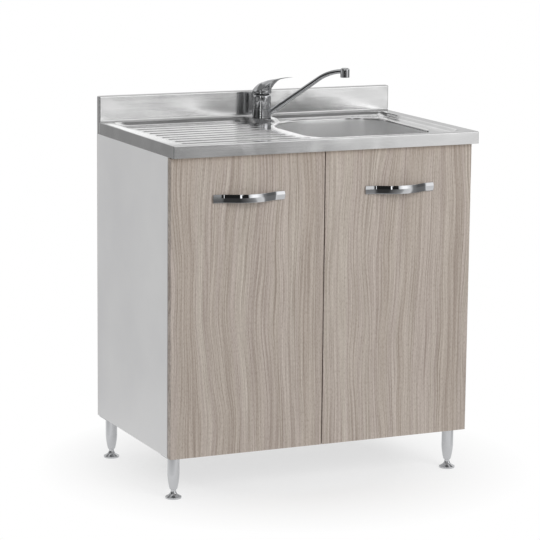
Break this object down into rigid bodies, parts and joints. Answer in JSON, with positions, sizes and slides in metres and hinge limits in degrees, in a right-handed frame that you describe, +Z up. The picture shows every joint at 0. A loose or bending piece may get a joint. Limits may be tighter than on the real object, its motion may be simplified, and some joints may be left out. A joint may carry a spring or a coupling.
{
  "type": "kitchen sink unit",
  "caption": "Two-door base cabinet on adjustable legs with a lay-on stainless sink top, drainer, bowl, waste trap and single-lever mixer tap.",
  "frame": {"origin": "on the floor under the middle of the whole unit", "axes": "+Z up, doors face -Y, +X to the right seen from the front"},
  "size_m": [0.8, 0.515, 0.984],
  "materials": {
    "white_board": "white melamine-faced chipboard",
    "hardboard": "thin painted hardboard",
    "bare_wood": "raw softwood and beech",
    "door_decor": "taupe ash woodgrain melamine",
    "stainless": "satin pressed stainless steel",
    "chrome": "polished chrome plate",
    "zinc_steel": "zinc-plated steel",
    "rubber": "matt rubber",
    "white_plastic": "white polypropylene",
    "grey_plastic": "grey plastic",
    "brass": "turned brass"
  },
  "bodies": {
    "carcass": {"back_panel": "hardboard", "bottom_panel": "white_board", "cartridge": "white_plastic", "door_bumpers": "rubber", "front_rail": "white_board", "hinge_arms": "zinc_steel", "hinge_plates": "zinc_steel", "inlet_tails": "brass", "leg_front_left": "chrome", "leg_front_right": "chrome", "leg_plates": "zinc_steel", "leg_rear_left": "chrome", "leg_rear_right": "chrome", "overflow_pipe": "white_plastic", "overflow_rosette": "chrome", "panel_dowels": "bare_wood", "rear_rail": "white_board", "side_panel_left": "white_board", "side_panel_right": "white_board", "sink_battens": "bare_wood", "sink_bowl": "stainless", "sink_clips": "zinc_steel", "sink_deck": "stainless", "tap_base_ring": "chrome", "tap_body": "chrome", "tap_clamp_washer": "zinc_steel", "tap_seal": "rubber", "tap_shank_nut": "brass", "trap_body": "white_plastic", "trap_cup": "white_plastic", "trap_inlet_tube": "white_plastic", "trap_nuts": "white_plastic", "trap_outlet_pipe": "white_plastic", "waste_body": "white_plastic", "waste_flange": "chrome", "waste_gasket": "rubber", "waste_screw": "zinc_steel", "wood_screws": "zinc_steel"},
    "door_left": {"door_left": "door_decor", "handle_left": "chrome", "handle_screws_left": "zinc_steel", "hinge_cups_left": "zinc_steel", "cup_screws_left": "zinc_steel"},
    "door_right": {"door_right": "door_decor", "handle_right": "chrome", "handle_screws_right": "zinc_steel", "hinge_cups_right": "zinc_steel", "cup_screws_right": "zinc_steel"},
    "spout": {"spout": "chrome", "aerator": "chrome"},
    "lever_turn": {"cartridge_rotor": "white_plastic"},
    "lever": {"lever": "chrome", "index_button": "grey_plastic"},
    "basket_strainer": {"basket_strainer": "chrome"},
    "foot_front_left": {"foot_front_left": "chrome"},
    "foot_front_right": {"foot_front_right": "chrome"},
    "foot_rear_left": {"foot_rear_left": "chrome"},
    "foot_rear_right": {"foot_rear_right": "chrome"}
  },
  "joints": [
    {"name": "door_left_hinge", "type": "hinge", "parent": "carcass", "child": "door_left", "pos_m": [-0.392, -0.2205, 0.4615], "axis": [0, 0, -1], "range_deg": [0, 95]},
    {"name": "door_right_hinge", "type": "hinge", "parent": "carcass", "child": "door_right", "pos_m": [0.38, -0.2205, 0.4615], "axis": [0, 0, 1], "range_deg": [0, 95]},
    {"name": "spout_swivel", "type": "hinge", "parent": "carcass", "child": "spout", "pos_m": [0.016, 0.1885, 0.865], "axis": [0, 0, 1], "range_deg": [-135, 40]},
    {"name": "lever_turn", "type": "hinge", "parent": "carcass", "child": "lever_turn", "pos_m": [0.016, 0.1885, 0.905], "axis": [0, 0, 1], "range_deg": [-45, 45]},
    {"name": "lever_lift", "type": "hinge", "parent": "lever_turn", "child": "lever", "pos_m": [0.016, 0.1885, 0.905], "axis": [-0.8829, -0.4695, 0], "range_deg": [0, 22]},
    {"name": "basket_lift", "type": "slide", "parent": "carcass", "child": "basket_strainer", "axis": [0, 0, 1], "range_m": [0, 0.16]},
    {"name": "foot_front_left_screw", "type": "slide", "parent": "carcass", "child": "foot_front_left", "axis": [0, 0, -1], "range_m": [0, 0.015]},
    {"name": "foot_front_right_screw", "type": "slide", "parent": "carcass", "child": "foot_front_right", "axis": [0, 0, -1], "range_m": [0, 0.015]},
    {"name": "foot_rear_left_screw", "type": "slide", "parent": "carcass", "child": "foot_rear_left", "axis": [0, 0, -1], "range_m": [0, 0.015]},
    {"name": "foot_rear_right_screw", "type": "slide", "parent": "carcass", "child": "foot_rear_right", "axis": [0, 0, -1], "range_m": [0, 0.015]}
  ]
}
